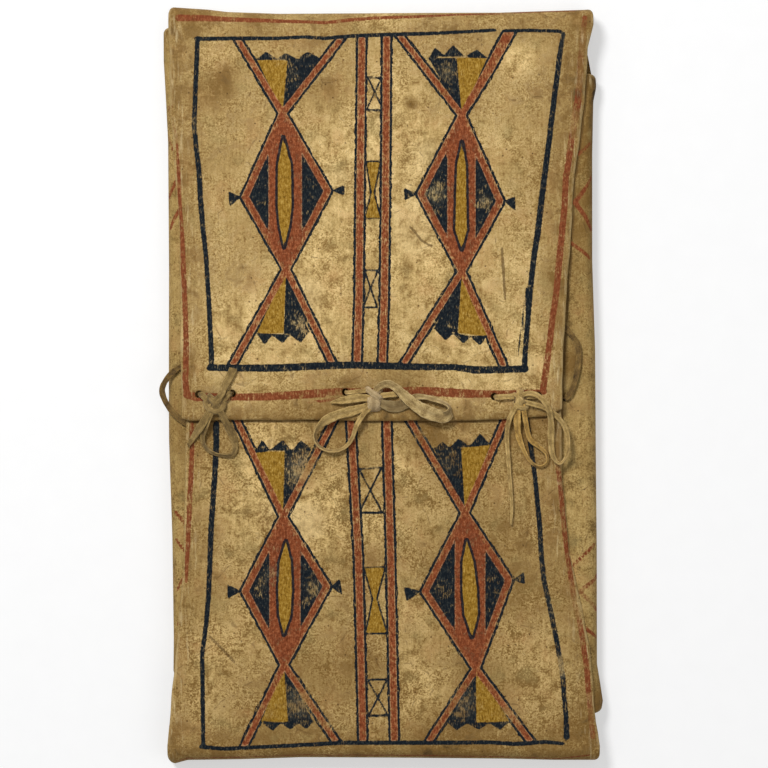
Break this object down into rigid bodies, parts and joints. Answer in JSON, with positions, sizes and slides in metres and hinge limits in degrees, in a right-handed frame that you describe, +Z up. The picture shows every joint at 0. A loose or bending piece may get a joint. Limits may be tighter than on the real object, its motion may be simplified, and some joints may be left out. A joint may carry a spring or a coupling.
{
  "type": "parfleche case",
  "caption": "Long flat envelope of folded painted rawhide with two side flaps and two end flaps, tied shut with buckskin thongs.",
  "frame": {"origin": "middle of the back panel's underside, on which the case lies", "axes": "+X across the case, +Y along it to the fold of the outer flap, +Z up out of its tied front"},
  "size_m": [0.3749, 0.646, 0.0415],
  "materials": {
    "hide_outer": "dry painted rawhide",
    "hide_inner": "dry painted rawhide, dingy",
    "hide_side": "dry rawhide",
    "hide_back": "dry rawhide",
    "thong": "soft buckskin",
    "side_thong": "worn buckskin"
  },
  "bodies": {
    "back": {"back_panel": "hide_back", "top_fold": "hide_outer", "bottom_fold": "hide_inner", "left_fold": "hide_side", "right_fold": "hide_side"},
    "top_flap": {"top_flap": "hide_outer", "left_tie_knot": "thong", "left_tie_short_tail": "thong", "left_tie_tail": "thong", "left_tie_loop": "thong", "left_tie_left_leg": "thong", "left_tie_right_leg": "thong", "centre_tie_knot": "thong", "centre_tie_tail": "thong", "centre_tie_left_loop": "thong", "centre_tie_right_loop": "thong", "centre_tie_left_leg": "thong", "centre_tie_right_leg": "thong", "right_tie_knot": "thong", "right_tie_tail": "thong", "right_tie_inner_loop": "thong", "right_tie_outer_loop": "thong", "right_tie_left_leg": "thong", "right_tie_right_leg": "thong"},
    "bottom_flap": {"bottom_flap": "hide_inner", "left_edge_thong": "side_thong", "left_tie_bight": "thong", "centre_tie_bight": "thong", "right_tie_bight": "thong"},
    "left_side_flap": {"left_side_flap": "hide_side"},
    "right_side_flap": {"right_side_flap": "hide_side", "right_side_thong": "side_thong"}
  },
  "joints": [
    {"name": "top_flap_fold", "type": "hinge", "parent": "back", "child": "top_flap", "pos_m": [0, 0.31065, 0.01235], "axis": [-1, 0, 0], "range_deg": [0, 170], "deforming": ["top_fold"]},
    {"name": "bottom_flap_fold", "type": "hinge", "parent": "back", "child": "bottom_flap", "pos_m": [0, -0.31065, 0.01235], "axis": [1, 0, 0], "range_deg": [0, 137], "deforming": ["bottom_fold"]},
    {"name": "left_side_flap_fold", "type": "hinge", "parent": "back", "child": "left_side_flap", "pos_m": [-0.173, 0, 0.011], "axis": [0, -1, 0], "range_deg": [0, 103], "deforming": ["left_fold"]},
    {"name": "right_side_flap_fold", "type": "hinge", "parent": "back", "child": "right_side_flap", "pos_m": [0.173, 0, 0.011], "axis": [0, 1, 0], "range_deg": [0, 103], "deforming": ["right_fold"]}
  ],
  "couplings": [
    {"joint": "bottom_flap_fold", "follows": "top_flap_fold", "ratio": 0.8},
    {"joint": "left_side_flap_fold", "follows": "top_flap_fold", "ratio": 0.6},
    {"joint": "right_side_flap_fold", "follows": "top_flap_fold", "ratio": 0.6}
  ]
}
